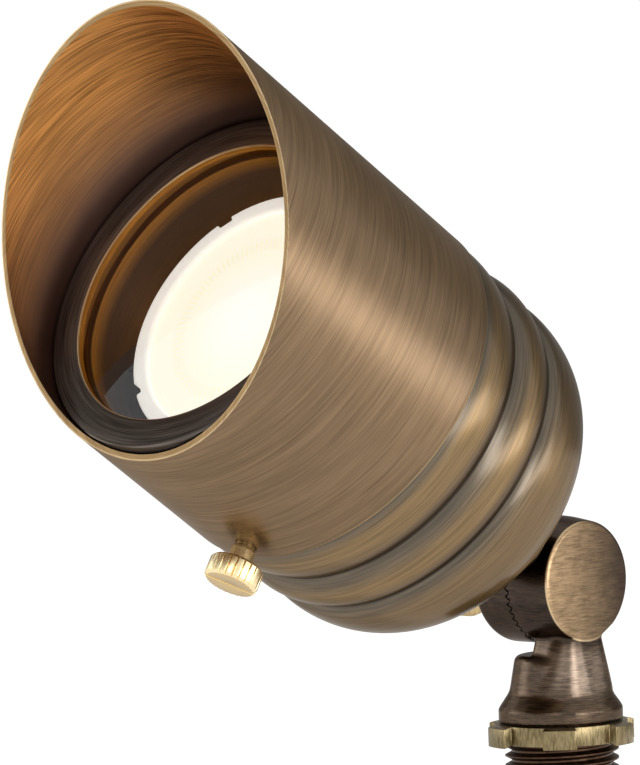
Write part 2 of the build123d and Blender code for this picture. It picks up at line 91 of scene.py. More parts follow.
def cut_away(piece, cutter):
    modify(piece, "BOOLEAN", object=cutter, operation="DIFFERENCE", solver="EXACT")
    bpy.data.objects.remove(cutter)


def block(at, turn, size):
    bpy.ops.object.select_all(action="DESELECT")
    bpy.ops.mesh.primitive_cube_add(
        size=1,
        location=[v * mm for v in at],
        rotation=(0, 0, turn),
        scale=[v * mm for v in size],
    )
    return bpy.context.object


def choose_faces(piece, test):
    pick(piece)
    bpy.ops.object.mode_set(mode="EDIT")
    bpy.ops.mesh.select_mode(type="FACE")
    bpy.ops.mesh.select_all(action="DESELECT")
    bpy.ops.object.mode_set(mode="OBJECT")
    for face in piece.data.polygons:
        face.select = test(face.center / mm, face.normal)


def outward(at, n):
    return n.x * at.x + n.y * at.y


def finish_faces(piece, finish, test=None):
    piece.data.materials.append(finish)
    if test is None:
        return
    choose_faces(piece, test)
    bpy.ops.object.mode_set(mode="EDIT")
    piece.active_material_index = len(piece.data.materials) - 1
    bpy.ops.object.material_slot_assign()
    bpy.ops.object.mode_set(mode="OBJECT")


def soften(piece, width, segments=2, angle=30):
    modify(
        piece,
        "BEVEL",
        width=width * mm,
        segments=segments,
        limit_method="ANGLE",
        angle_limit=radians(angle),
    )


def place(piece, matrix, body, node, smooth=28):
    pick(piece)
    bpy.ops.object.shade_smooth_by_angle(angle=radians(smooth))
    piece.matrix_world = matrix @ piece.matrix_world
    bpy.ops.object.transform_apply(location=True, rotation=True, scale=True)
    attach(piece, body)
    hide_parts(node)
    print(piece.name, "has", len(piece.data.polygons), "faces and rides on", body)


bpy.ops.object.select_all(action="DESELECT")
print("helpers ready, units:", mm, "m per mm")

# %% [markdown]
# Most of this object came off a lathe, so its pieces can come off one here: an outline of radius
# and height is drawn point by point by extruding one vertex, and then spun round Z. A cylinder
# with edge rings moved by hand gives the same shape, but the outline keeps the real stations in
# sight. The spin leaves doubles on its seam and at its poles, so they are merged before the
# normals are set right. An arc through three points is how a turner reads a rounded tier: its two
# ends and its top.

# %% The lathe
weld_gap = 0.002 * mm
spin_steps, fine_steps, coarse_steps = 192, 256, 96


def drawn(name, outline):
    bpy.ops.object.select_all(action="DESELECT")
    bpy.ops.mesh.primitive_plane_add(size=mm, location=(0, 0, 0))
    piece = bpy.context.object
    piece.name = name
    bpy.ops.object.mode_set(mode="EDIT")
    bpy.ops.mesh.select_mode(type="VERT")
    bpy.ops.mesh.select_all(action="SELECT")
    bpy.ops.mesh.merge(type="CENTER")
    points = [Vector((radius, 0, height)) * mm for radius, height in outline]
    bpy.ops.transform.translate(value=points[0])
    for here, there in zip(points, points[1:]):
        bpy.ops.mesh.extrude_region_move(TRANSFORM_OT_translate={"value": there - here})
    return piece


def weld():
    bpy.ops.mesh.select_all(action="SELECT")
    bpy.ops.mesh.remove_doubles(threshold=weld_gap)
    bpy.ops.mesh.normals_make_consistent(inside=False)
    bpy.ops.object.mode_set(mode="OBJECT")


def turned(name, outline, steps=spin_steps):
    piece = drawn(name, outline + outline[:1])
    bpy.ops.mesh.select_all(action="SELECT")
    bpy.ops.mesh.spin(steps=steps, angle=2 * pi, center=(0, 0, 0), axis=(0, 0, 1))
    weld()
    return piece


def arc(centre, radius, start, end, count):
    turns = [radians(start + (end - start) * k / count) for k in range(count + 1)]
    return [(centre[0] + radius * cos(turn), centre[1] + radius * sin(turn)) for turn in turns]


def tier(start, top, end, count):
    (r0, s0), (r1, s1), (r2, s2) = start, top, end
    d = 2 * (r0 * (s1 - s2) + r1 * (s2 - s0) + r2 * (s0 - s1))
    q0, q1, q2 = r0**2 + s0**2, r1**2 + s1**2, r2**2 + s2**2
    centre = (
        (q0 * (s1 - s2) + q1 * (s2 - s0) + q2 * (s0 - s1)) / d,
        (q0 * (r2 - r1) + q1 * (r0 - r2) + q2 * (r1 - r0)) / d,
    )
    turns = [degrees(atan2(s - centre[1], r - centre[0])) for r, s in (start, end)]
    radius = sqrt((r0 - centre[0])**2 + (s0 - centre[1])**2)
    return arc(centre, radius, turns[0], turns[1], count)


print("the lathe spins in", spin_steps, "steps, and in", fine_steps, "for the broad pieces")

# %% [markdown]
# Finishes are made of nodes, and a tree of nodes reads slowly as code, so a few helpers name what
# is built: one feeds a socket with a number or a link, and the others do sums, mix by shares, split
# a place into its parts, measure how far off an axis it lies, blend two colours and stretch a
# range of values.

# %% Node helpers
def feed(tree, made, **inputs):
    for name, value in inputs.items():
        key = int(name[1:]) if name[0] == "_" else name.replace("_", " ")
        if isinstance(value, bpy.types.NodeSocket):
            tree.links.new(value, made.inputs[key])
        else:
            made.inputs[key].default_value = value


def node(tree, kind, **inputs):
    made = tree.nodes.new("ShaderNode" + kind)
    feed(tree, made, **inputs)
    return made


def math(tree, operation, first, second=0.0, third=0.0):
    made = node(tree, "Math", _0=first, _1=second, _2=third)
    made.operation = operation
    return made.outputs[0]


def weigh(tree, first, share, second):
    rest = math(tree, "MULTIPLY", second, 1 - share)
    return math(tree, "MULTIPLY_ADD", first, share, rest)


def split(tree, spot):
    return tuple(node(tree, "SeparateXYZ", Vector=spot).outputs)


def off_axis(tree, first, second):
    square = math(tree, "MULTIPLY", second, second)
    return math(tree, "SQRT", math(tree, "MULTIPLY_ADD", first, first, square))


def noise(tree, spot, scale, detail, roughness=0.5):
    made = node(tree, "TexNoise", Vector=spot, Scale=scale, Detail=detail, Roughness=roughness)
    return made.outputs["Fac"]


def blend_colours(tree, factor, low, high):
    made = tree.nodes.new("ShaderNodeMix")
    made.data_type = "RGBA"
    feed(tree, made, _0=factor, _6=low, _7=high)
    return made.outputs[2]


def stretch_range(tree, value, low, high, start=0.3, end=0.7):
    made = node(
        tree, "MapRange", Value=value, From_Min=start, From_Max=end, To_Min=low, To_Max=high
    )
    return made.outputs[0]


def new_group(name, inputs, outputs):
    tree = bpy.data.node_groups.new(name, "ShaderNodeTree")
    for title, kind in inputs:
        tree.interface.new_socket(title, in_out="INPUT", socket_type="NodeSocket" + kind)
    for title, kind in outputs:
        tree.interface.new_socket(title, in_out="OUTPUT", socket_type="NodeSocket" + kind)
    return tree, tree.nodes.new("NodeGroupInput"), tree.nodes.new("NodeGroupOutput")


print("node helpers ready")

# %% [markdown]
# Antique brass is brass that has been darkened by a chemical bath and then brushed on a lathe, so
# the dark is left in the low places and fine bright lines run round the axis. The lines are one
# shader group that several finishes share: it reads a place on the head in millimetres, squeezes
# noise along the axis and stretches it round it. Adding the radius to the height makes the lines
# run round flat faces too. An image of brushed metal would show seams and repeat, and noise does
# neither.

# %% Brushed lines
brushed_lines, lines_in, lines_out = new_group(
    "brushed_lines",
    [("Place", "Vector"), ("Round", "Float"), ("Spacing", "Float"), ("Length", "Float")],
    [("Lines", "Float"), ("Patches", "Float")],
)
line_x, line_y, line_z = split(brushed_lines, lines_in.outputs["Place"])
line_reach = off_axis(brushed_lines, line_x, line_y)
along = math(brushed_lines, "MULTIPLY_ADD", line_reach, lines_in.outputs["Round"], line_z)
layers = []
for fineness, stretch, detail in ((1.0, 0.7, 2.0), (0.3, 1.1, 2.0), (0.035, 2.0, 3.0)):
    squeezed = math(brushed_lines, "MULTIPLY", along, fineness)
    stretched = math(brushed_lines, "MULTIPLY", lines_in.outputs["Length"], stretch)
    spot = node(
        brushed_lines,
        "CombineXYZ",
        X=math(brushed_lines, "DIVIDE", line_x, stretched),
        Y=math(brushed_lines, "DIVIDE", line_y, stretched),
        Z=math(brushed_lines, "DIVIDE", squeezed, lines_in.outputs["Spacing"]),
    )
    layers.append(noise(brushed_lines, spot.outputs[0], 1.0, detail, 0.6))
fine_layer, broad_layer, patch_layer = layers
fine_share = 0.72
feed(
    brushed_lines,
    lines_out,
    Lines=weigh(brushed_lines, fine_layer, fine_share, broad_layer),
    Patches=patch_layer,
)
print("brushed_lines puts out", [socket.name for socket in lines_out.inputs if socket.name])

# %% [markdown]
# Every finish starts the same way: a principled shader, the surface's own coordinates turned into
# the head's frame or the stem's, and then its own colours. Brushed metal spreads a highlight
# across its lines, which is what the anisotropy does, with the axis of turning as its tangent.

# %% Starting a finish
head_euler = head_turn.to_euler()


def new_finish(name, on_head=True):
    finish = bpy.data.materials.new(name)
    finish.use_nodes = True
    tree = finish.node_tree
    spot = node(tree, "TexCoord")
    frame_of = node(tree, "Mapping", Vector=spot.outputs["Object"], Scale=(mm, mm, mm))
    frame_of.vector_type = "TEXTURE"
    feed(tree, frame_of, Location=pivot)
    if on_head:
        feed(tree, frame_of, Rotation=head_euler)
    return finish, tree, tree.nodes["Principled BSDF"], frame_of.outputs[0]


def brush(tree, spot, spacing, round_axis=1.0, length=20.0):
    lines = node(tree, "Group")
    lines.node_tree = brushed_lines
    feed(tree, lines, Place=spot, Round=round_axis, Spacing=spacing, Length=length)
    return lines.outputs["Lines"], lines.outputs["Patches"]


def roughen(tree, shader, height, depth):
    bump = node(tree, "Bump", Strength=1.0, Distance=depth * mm, Height=height)
    feed(tree, shader, Normal=bump.outputs[0])


def comb(tree, shader, axis, amount):
    lay = node(tree, "CombineXYZ", X=axis[0], Y=axis[1], Z=axis[2])
    turn = node(tree, "VectorTransform", Vector=lay.outputs[0])
    turn.vector_type = "VECTOR"
    turn.convert_from = "OBJECT"
    turn.convert_to = "WORLD"
    feed(tree, shader, Tangent=turn.outputs[0], Anisotropic=amount)


print("head frame turns by", [round(degrees(v), 1) for v in head_euler], "degrees")

# %% [markdown]
# The outside of the shroud carries the main finish: dark brown brass with fine lines of barer
# metal under a thin lacquer, which adds a little white to its highlights. The inside has the same
# bath but less brushing, so it is redder. One recipe makes both, with other colours, and bright
# versions serve for edges: worn by handling in part, and in part a painted highlight where light
# would catch the edge. The specular tint is set dark, because bare metal would turn white at its
# outline and this bath does not. A finish can also fade to a dark colour between two stations,
# which is painted shade deep inside the shroud and the mouth.

# %% Antique brass finishes
bath_tint = (0.5, 0.42, 0.33, 1)
patch_share = 0.2


def brushed_finish(
    name, dark, light, spacing, roughness, spread, depth, lacquer=0.0, deep=None
):
    finish, tree, shader, spot = new_finish(name)
    lines, patches = brush(tree, spot, spacing)
    mixed = weigh(tree, patches, patch_share, lines)
    colour = blend_colours(tree, stretch_range(tree, mixed, 0, 1, 0.38, 0.62), dark, light)
    # Painted shade: between the two stations the colour fades to a dark one, deeper in
    if deep:
        start, end, painted_shade_colour = deep
        station = split(tree, spot)[2]
        painted_shade_share = stretch_range(tree, station, 0, 1, start, end)
        colour = blend_colours(tree, painted_shade_share, painted_shade_colour, colour)
    feed(
        tree,
        shader,
        Base_Color=colour,
        Metallic=1.0,
        Roughness=stretch_range(tree, lines, roughness - 0.05, roughness + 0.05),
        Specular_Tint=bath_tint,
        Coat_Weight=lacquer,
        Coat_Roughness=0.3,
    )
    roughen(tree, shader, lines, depth)
    comb(tree, shader, aim, spread)
    return finish


shroud_brass = brushed_finish(
    "brushed_shroud_brass", (0.13, 0.08, 0.04, 1), (0.245, 0.158, 0.084, 1),
    spacing=0.2, roughness=0.38, spread=0.6, depth=0.006, lacquer=0.4,
)
copper_inside = brushed_finish(
    "copper_inside", (0.29, 0.13, 0.042, 1), (0.86, 0.385, 0.11, 1),
    spacing=0.22, roughness=0.4, spread=0.5, depth=0.008,
    deep=(112.0, 131.0, (0.15, 0.085, 0.066, 1)),
)
mouth_copper = brushed_finish(
    "mouth_copper", (0.25, 0.1, 0.02, 1), (0.46, 0.19, 0.038, 1),
    spacing=0.4, roughness=0.45, spread=0.3, depth=0.01,
    deep=(99.4, 104.8, (0.03, 0.018, 0.013, 1)),
)
# Bright brass for edges: partly wear, partly a painted highlight where light would catch them
worn_and_highlit_brass = brushed_finish(
    "worn_and_highlit_brass", (0.4, 0.28, 0.15, 1), (0.58, 0.43, 0.25, 1),
    spacing=0.3, roughness=0.3, spread=0.3, depth=0.004,
)
rim_brass = brushed_finish(
    "rim_brass", (0.22, 0.142, 0.068, 1), (0.36, 0.24, 0.118, 1),
    spacing=0.3, roughness=0.36, spread=0.3, depth=0.004,
)
ring_bronze = brushed_finish(
    "ring_bronze", (0.058, 0.049, 0.043, 1), (0.2, 0.168, 0.145, 1),
    spacing=0.16, roughness=0.36, spread=0.5, depth=0.012,
)
antique = (shroud_brass, copper_inside, mouth_copper, worn_and_highlit_brass, rim_brass, ring_bronze)
print("antique finishes:", [finish.name for finish in antique])

# %% [markdown]
# The shroud is a thin tube whose mouth is sawn off on a slant. It could be bent from sheet, but a
# real one is turned, so its wall is spun with the groove for its soft ring inside, cut by one
# slanted bisect, and the open wall is closed by bridging its two edges. A hole for the thumb screw
# is taken out, and the edges get the small round that a file leaves, because a dead sharp edge
# catches no light.

# %% Shroud tube
shroud_radius, shroud_bore = 35.24, 34.24
shroud_rear, blank_end = 70.96, 150  # the mouth is cut later
shroud_long, shroud_short = 75.0, 35.0
thumb_station, thumb_hole_radius = 74.8, 1.8
hole_back, hole_front = 72.2, 77.4  # edge rings beside the hole
groove_radius = shroud_bore + 0.5
groove_middle, groove_half = shroud_rear + 11.0, 0.7
shroud_outline = [
    (shroud_bore, shroud_rear),
    (shroud_radius - 0.22, shroud_rear),
    (shroud_radius, shroud_rear + 0.42),
    (shroud_radius, hole_back),
    (shroud_radius, hole_front),
    (shroud_radius, blank_end),
    (shroud_bore, blank_end),
    (shroud_bore, groove_middle + groove_half),
    (groove_radius, groove_middle + groove_half),
    (groove_radius, groove_middle - groove_half),
    (shroud_bore, groove_middle - groove_half),
    (shroud_bore, hole_front),
    (shroud_bore, hole_back),
]
shroud = turned("shroud_tube", shroud_outline, fine_steps)
print("shroud blank is", blank_end - shroud_rear, "mm long")

# %% Shroud mouth, hole and finishes
slope = (shroud_long - shroud_short) / (2 * shroud_radius)
slant_turn = radians(2.9)
slant_up = Vector((-sin(slant_turn), cos(slant_turn), 0))
bpy.ops.object.mode_set(mode="EDIT")
bpy.ops.mesh.select_all(action="SELECT")
bpy.ops.mesh.bisect(
    plane_co=(0, 0, (shroud_rear + (shroud_long + shroud_short) / 2) * mm),
    plane_no=straight_up - slant_up * slope,
    clear_outer=True,
)
bpy.ops.mesh.select_mode(type="EDGE")
bpy.ops.mesh.select_all(action="DESELECT")
bpy.ops.mesh.select_non_manifold()
bpy.ops.mesh.bridge_edge_loops(number_cuts=3, interpolation="LINEAR")
bpy.ops.mesh.select_all(action="SELECT")
bpy.ops.mesh.normals_make_consistent(inside=False)
bpy.ops.object.mode_set(mode="OBJECT")

bpy.ops.object.select_all(action="DESELECT")
bpy.ops.mesh.primitive_cylinder_add(
    vertices=48,
    radius=thumb_hole_radius * mm,
    depth=6 * mm,
    location=(0, -shroud_radius * mm, thumb_station * mm),
    rotation=(pi / 2, 0, 0),
)
cut_away(shroud, bpy.context.object)
soften(shroud, 0.14, 3)

# The rim's outer edge and the rear edge get the bright brass: partly wear, partly painted highlight
worn_and_highlit_from = shroud_radius - 0.28
finish_faces(shroud, shroud_brass)
finish_faces(shroud, copper_inside, lambda at, n: outward(at, n) < -0.6 * at.xy.length)
finish_faces(shroud, rim_brass, lambda at, n: n.z > 0.25 and at.xy.length <= worn_and_highlit_from)
finish_faces(shroud, worn_and_highlit_brass, lambda at, n: n.z > 0.25 and at.xy.length > worn_and_highlit_from)
finish_faces(shroud, worn_and_highlit_brass, lambda at, n: n.z < -0.3 and at.z < shroud_rear + 0.5)
place(shroud, head_place, "shroud", "shroud")

# %% [markdown]
# The housing is one turned piece: a domed back with a small lap, two rounded tiers with sharp
# valleys between them, and inside the shroud a plain spigot and nose. Its outline is made of arcs,
# as a turner's form tool would cut them: the dome from a wide crown and a tight cheek that meet
# without a kink. The valleys get a hair of flat, so that they show as a thin dark line and not as
# a crack.

# %% Housing outline
dome_radius, dome_depth, dome_widest = 34.29, 25.6, 46.9
crest, valley, front_edge = 34.82, 33.32, 34.44
rear_valley, front_valley, shoulder = 49.7, 60.1, 70.66
valley_flat = 0.12
wire_hole, pad_edge, back_pad, back_floor = 6.6, 11.94, 22.8, 27.9
spigot_radius, spigot_end = 33.9, 91.86
nose_radius, nose_end = 31.2, 103.1
mouth_bore, mouth_seat, inner_radius = 28.2, 88.1, 31.4

joint_turn = 52.0
joint = radians(joint_turn)
share = (1 - sin(joint)) / cos(joint)
cheek = (dome_depth - dome_radius * share) / (1 - share)
crown = dome_depth + (dome_radius - cheek) * tan(joint)
crown_start = degrees(atan2(-sqrt(crown**2 - pad_edge**2), pad_edge))
dome = arc((0, dome_widest - dome_depth + crown), crown, crown_start, -joint_turn, 14)
dome += arc((dome_radius - cheek, dome_widest), cheek, -joint_turn, 0, 20)[1:]
lap = tier((dome_radius, dome_widest), (34.041, 48.381), (valley, rear_valley), 10)
rear_tier = tier(
    (valley, rear_valley + valley_flat),
    (crest, (rear_valley + front_valley) / 2),
    (valley, front_valley),
    24,
)
front_tier = tier(
    (valley, front_valley + valley_flat),
    (crest, (front_valley + shoulder) / 2),
    (front_edge, shoulder),
    20,
)
housing_outline = [(wire_hole, back_pad), (pad_edge, back_pad)]
housing_outline += dome + lap[1:] + rear_tier + front_tier
housing_outline += [(spigot_radius, shoulder), (spigot_radius, spigot_end)]
housing_outline += [(nose_radius, spigot_end), (nose_radius, nose_end)]
housing_outline += [(mouth_bore, nose_end), (mouth_bore, mouth_seat)]
housing_outline += [(inner_radius, mouth_seat), (inner_radius, dome_widest)]
housing_outline += [(28.2, 34.85), (18.2, back_floor), (wire_hole, back_floor)]
widest = max(radius for radius, station in housing_outline)
print("housing outline:", len(housing_outline), "points, widest", widest, "mm")

# %% [markdown]
# The bath darkened the whole housing, and the brush then reached the crests. So its colour goes
# by station along the axis: gold on the crests and the dome, a grey skin of patina on the slopes
# that fall towards the mouth, and painted shade on the rest: brown on the slopes that face back
# and near black in the two valleys. A colour ramp over the axis does that in one node, where
# painted vertices would blur, and the brushed lines only lighten and darken it. The upper side is
# painted darker as shade, by height over the head's axis.

# %% Housing finish
dome_gold = (0.175, 0.112, 0.052, 1)
gold = (0.21, 0.134, 0.058, 1)
olive = (0.145, 0.102, 0.058, 1)
slate = (0.108, 0.085, 0.058, 1)
# Painted shade: the slopes that face back and the two valleys, where shade falls
back_slope_shade = (0.13, 0.084, 0.045, 1)
low_back_slope_shade = (0.062, 0.043, 0.028, 1)
valley_shade = (0.026, 0.02, 0.015, 1)
bands = [(45.8, dome_gold), (47.6, olive), (48.9, slate), (49.55, slate)]
bands += [(rear_valley, valley_shade), (50.2, low_back_slope_shade), (51.8, back_slope_shade), (53.4, gold)]
bands += [(55.8, gold), (57.4, olive), (59.0, slate), (59.95, slate)]
bands += [(front_valley, valley_shade), (60.6, low_back_slope_shade), (62.2, back_slope_shade), (63.8, gold)]
bands += [(67.8, gold), (69.2, olive), (70.2, slate)]
ramp_start, ramp_length = 40.0, 32.0
wander_width = 0.4

housing_brass, tier_tree, tier_shader, tier_spot = new_finish("banded_housing_brass")
tier_lines, tier_patches = brush(tier_tree, tier_spot, 0.2)
tier_y, tier_z = split(tier_tree, tier_spot)[1:]
wander = math(tier_tree, "MULTIPLY_ADD", tier_patches, wander_width, tier_z)
wander_start = ramp_start + wander_width / 2
ramp_share = stretch_range(tier_tree, wander, 0, 1, wander_start, wander_start + ramp_length)
band_ramp = node(tier_tree, "ValToRGB", Fac=ramp_share)
stops = band_ramp.color_ramp.elements
while len(stops) < len(bands):
    stops.new(1.0)
for stop, (station, colour) in zip(stops, bands):
    stop.position = (station - ramp_start) / ramp_length
    stop.color = colour
# Painted shade: the upper side darker, by height over the head's axis
painted_top_shade = stretch_range(tier_tree, tier_y, 1.0, 0.56, 4.0, 28.0)
brightness = stretch_range(tier_tree, tier_lines, 0.72, 1.28, 0.38, 0.62)
banded = node(tier_tree, "VectorMath", Vector=band_ramp.outputs[0])
banded.operation = "SCALE"
feed(tier_tree, banded, Scale=math(tier_tree, "MULTIPLY", brightness, painted_top_shade))
feed(
    tier_tree,
    tier_shader,
    Base_Color=banded.outputs[0],
    Metallic=1.0,
    Roughness=stretch_range(tier_tree, tier_lines, 0.28, 0.4),
    Specular_Tint=bath_tint,
    Coat_Weight=0.5,
    Coat_Roughness=0.18,
)
roughen(tier_tree, tier_shader, tier_lines, 0.008)
comb(tier_tree, tier_shader, aim, 0.5)
print("housing finish has", len(stops), "bands")

# %% Housing
mouth_from, nose_face = 60, 103


def in_mouth(at, n):
    return at.z > mouth_from and outward(at, n) < 0 or at.z > nose_face


housing = turned("turned_housing", housing_outline, fine_steps)
finish_faces(housing, housing_brass)
finish_faces(housing, mouth_copper, in_mouth)
place(housing, head_place, "head", "housing")

# %% [markdown]
# The lens ring screws over the nose and holds the glass. It is nearly black, because it went
# through the bath unbrushed, and its inner lip gets the bright brass: worn in part, and in part a
# painted highlight. The lip's small round and that bright colour show as the thin gold line.

# %% Lens ring
glass_back, glass_front, ring_front = 104.1, 107.1, 108.5
thread_bore, lip_bore, lip_start = 31.3, 28.13, 108.24
lip_from, lip_reach = 108.2, 28.4
ring_outline = [(thread_bore, spigot_end), (spigot_radius, spigot_end), (spigot_radius, lip_start)]
ring_outline += [(33.65, ring_front), (28.38, ring_front), (28.2, 108.42), (lip_bore, lip_start)]
ring_outline += [(lip_bore, glass_front), (thread_bore, glass_front)]


def on_lip(at, n):
    return at.z > lip_from and at.xy.length < lip_reach and n.z < 0.98


lens_ring = turned("lens_ring", ring_outline, fine_steps)
finish_faces(lens_ring, ring_bronze)
finish_faces(lens_ring, mouth_copper, lambda at, n: at.z < lip_from and at.xy.length < mouth_bore)
finish_faces(lens_ring, worn_and_highlit_brass, on_lip)
place(lens_ring, head_place, "head", "lens_retainer")

# %% Cover glass
clear_glass, glass_tree, glass_shader, glass_spot = new_finish("clear_glass")
smears = noise(glass_tree, glass_spot, 0.08, 4.0)
feed(
    glass_tree,
    glass_shader,
    Base_Color=(1, 1, 1, 1),
    Roughness=stretch_range(glass_tree, smears, 0.0, 0.04),
    IOR=1.45,
    Transmission_Weight=1.0,
)
glass_radius, glass_chamfer = 31.2, 0.3
glass_flat = glass_radius - glass_chamfer
glass_outline = [(0, glass_back), (glass_flat, glass_back)]
glass_outline += [(glass_radius, glass_back + glass_chamfer)]
glass_outline += [(glass_radius, glass_front - glass_chamfer)]
glass_outline += [(glass_flat, glass_front), (0, glass_front)]
glass = turned("cover_glass", glass_outline)
finish_faces(glass, clear_glass)
place(glass, head_place, "head", "cover_lens")

# %% [markdown]
# The lamp is a white plastic ring round a moulded lens that glows. The ring has four notches, cut
# by booleans here as a mould would leave them. The glow is emission on the lens itself, whiter in
# its middle, and the light that it throws on the wall round it is real light in the render. The
# plastic ring glows a little too: a painted glow that stands in for the lens's light on it.

# %% Lamp ring
lamp_radius, lamp_window = 25.3, 22.3
lamp_back, lamp_front = 91.5, 94.9
notch_turn, notch_size = 38, (2.6, 3.2, 8)
bezel_outline = [(lamp_window, lamp_back), (lamp_radius, lamp_back), (lamp_radius, 94.5)]
bezel_outline += [(24.9, lamp_front), (22.6, lamp_front), (lamp_window, 94.6)]
bezel = turned("lamp_ring", bezel_outline)
for quarter in range(4):
    turn = radians(notch_turn + 90 * quarter)
    notch_at = (lamp_radius * cos(turn), lamp_radius * sin(turn), (lamp_back + lamp_front) / 2)
    cut_away(bezel, block(notch_at, turn, notch_size))
soften(bezel, 0.12)

white_plastic, plastic_tree, plastic_shader, plastic_spot = new_finish("white_plastic")
mottle = noise(plastic_tree, plastic_spot, 0.6, 3.0)
plastic_dark, plastic_light = (0.74, 0.72, 0.68, 1), (0.84, 0.82, 0.78, 1)
feed(
    plastic_tree,
    plastic_shader,
    Base_Color=blend_colours(plastic_tree, mottle, plastic_dark, plastic_light),
    Roughness=0.45,
    # Painted glow: the ring is no lamp, this emission stands in for light on it
    Emission_Color=(1.0, 0.96, 0.88, 1),
    Emission_Strength=0.55,
)
finish_faces(bezel, white_plastic)
place(bezel, head_place, "head", "lamp_bezel")

# %% Glowing lens
optic_radius, optic_edge = 22.2, 93.9
lens_rise = tier((optic_radius, optic_edge), (11.5, 94.34), (0.0, 94.5), 12)
optic = turned("lamp_lens", [(0, lamp_back), (optic_radius, lamp_back)] + lens_rise)
lit_lens, lit_tree, lit_shader, lit_spot = new_finish("lit_lens")
lit_x, lit_y = split(lit_tree, lit_spot)[:2]
lit_reach = off_axis(lit_tree, lit_x, lit_y)
lit_angle = math(lit_tree, "ARCTAN2", lit_y, lit_x)
rib_count, rib_middle, rib_half = 90.0, 15.5, 1.2
ribs = math(lit_tree, "SINE", math(lit_tree, "MULTIPLY", lit_angle, rib_count))
rib_band = math(lit_tree, "COMPARE", lit_reach, rib_middle, rib_half)
rib_mask = math(lit_tree, "MULTIPLY", math(lit_tree, "GREATER_THAN", ribs, 0.3), rib_band)
middle = stretch_range(lit_tree, lit_reach, 1.0, 0.0, 3.0, 13.0)
glow = blend_colours(lit_tree, middle, (1.0, 0.97, 0.8, 1), (1.0, 1.0, 0.94, 1))
rib_shade = math(lit_tree, "MULTIPLY", rib_mask, 0.35)
feed(
    lit_tree,
    lit_shader,
    Base_Color=(0.2, 0.19, 0.15, 1),
    Roughness=0.3,
    Emission_Color=blend_colours(lit_tree, rib_shade, glow, (0.82, 0.72, 0.45, 1)),
    Emission_Strength=0.97,
)
finish_faces(optic, lit_lens)
place(optic, head_place, "head", "lamp_optic")

# %% [markdown]
# Both screws are turned, one polished and one left satin, with flat ridges round a knob and a slot
# across its end. A knob is spun with eight steps to a ridge, and every eighth line of points is
# drawn in towards the axis, which leaves a narrow groove between two broad ridges. The slot is a
# boolean, and a fine bevel catches the light on every ridge.

# %% Screw finishes
def screw_finish(name, low, high, roughness):
    finish, tree, shader, spot = new_finish(name)
    rub = noise(tree, spot, 0.5, 4.0, 0.6)
    feed(
        tree,
        shader,
        Base_Color=blend_colours(tree, rub, low, high),
        Metallic=1.0,
        Roughness=stretch_range(tree, rub, roughness - 0.05, roughness + 0.05),
    )
    roughen(tree, shader, rub, 0.002)
    return finish


polished_brass = screw_finish("polished_brass", (0.86, 0.68, 0.37, 1), (0.95, 0.81, 0.5, 1), 0.28)
satin_brass = screw_finish("satin_brass", (0.54, 0.39, 0.19, 1), (0.66, 0.49, 0.25, 1), 0.36)
print("screw finishes:", polished_brass.name, satin_brass.name)

# %% Knob with ridges
steps_per_ridge, ridge_depth, knob_chamfer = 8, 0.36, 0.5
slot_width, slot_height = 0.8, 2.2


def ridged_screw(name, shank, low, high, radius, ridges, slot_turn, finish):
    flat = radius - knob_chamfer
    knob = [(flat, low), (radius, low + knob_chamfer)]
    knob += [(radius, high - knob_chamfer), (flat, high), (0, high)]
    screw = turned(name, shank + knob, ridges * steps_per_ridge)
    pick(screw)
    bpy.ops.object.mode_set(mode="EDIT")
    bpy.ops.mesh.select_mode(type="VERT")
    bpy.ops.mesh.select_all(action="DESELECT")
    bpy.ops.object.mode_set(mode="OBJECT")
    for point in screw.data.vertices:
        turn = atan2(point.co.y, point.co.x) * ridges / (2 * pi)
        on_knob = point.co.xy.length > (radius - 0.6) * mm and point.co.z > (low - 0.1) * mm
        point.select = on_knob and abs(turn - round(turn)) < 0.05
    bpy.ops.object.mode_set(mode="EDIT")
    drawn_in = (radius - ridge_depth) / radius
    bpy.ops.transform.resize(value=(drawn_in, drawn_in, 1), center_override=(0, 0, low * mm))
    bpy.ops.object.mode_set(mode="OBJECT")
    slot_size = (3 * radius, slot_width, slot_height)
    cut_away(screw, block((0, 0, high), radians(slot_turn), slot_size))
    soften(screw, 0.06, 2, 25)
    finish_faces(screw, finish)
    finish_faces(screw, satin_brass, lambda at, n: n.z > 0.9 and at.z > high - 0.2)
    return screw


print("a knob's ridges are", ridge_depth, "mm deep")

# %% Thumb screw
thumb_shank = [(0, 33.95), (1.45, 33.95), (1.75, 34.25), (1.75, 35.74)]
thumb_shank += [(2.1, 35.74), (2.25, 35.9), (2.25, 38.54)]
thumb_screw = ridged_screw(
    "thumb_screw_knob", thumb_shank,
    low=38.54, high=42.74, radius=5.0, ridges=24, slot_turn=-48.3, finish=polished_brass,
)
thumb_turn = Matrix((across, across.cross(head_up), -head_up)).transposed()
thumb_place = Matrix.Translation(pivot + aim * thumb_station * mm) @ thumb_turn.to_4x4()
place(thumb_screw, thumb_place, "thumb_screw", "thumb_screw")

# %% Knuckle screw
split_plane = -1.8
screw_shank = [(0, -4.5), (2.6, -4.5), (3.0, -4.1), (3.0, 11.0)]
screw_shank += [(4.4, 11.0), (4.6, 11.2), (4.6, 19.6)]
knuckle_screw = ridged_screw(
    "knuckle_screw_knob", screw_shank,
    low=19.6, high=25.8, radius=7.85, ridges=32, slot_turn=0, finish=satin_brass,
)
screw_turn = Matrix((Vector((0, 1, 0)), -straight_up, -across)).transposed()
screw_place = Matrix.Translation(pivot + across * split_plane * mm) @ screw_turn.to_4x4()
place(knuckle_screw, screw_place, "knuckle_screw", "knuckle_screw")

# %% [markdown]
# The locknut is stamped: a ring with six lobes that a tool can tap round. The ring is spun, the
# faces where the lobes stand are pushed out along their normals, and each lobe is tipped down a
# little, as the stamping left it. Its zinc-yellow plating is a greener gold than the screws, with
# the upright scores of the stamping tool.

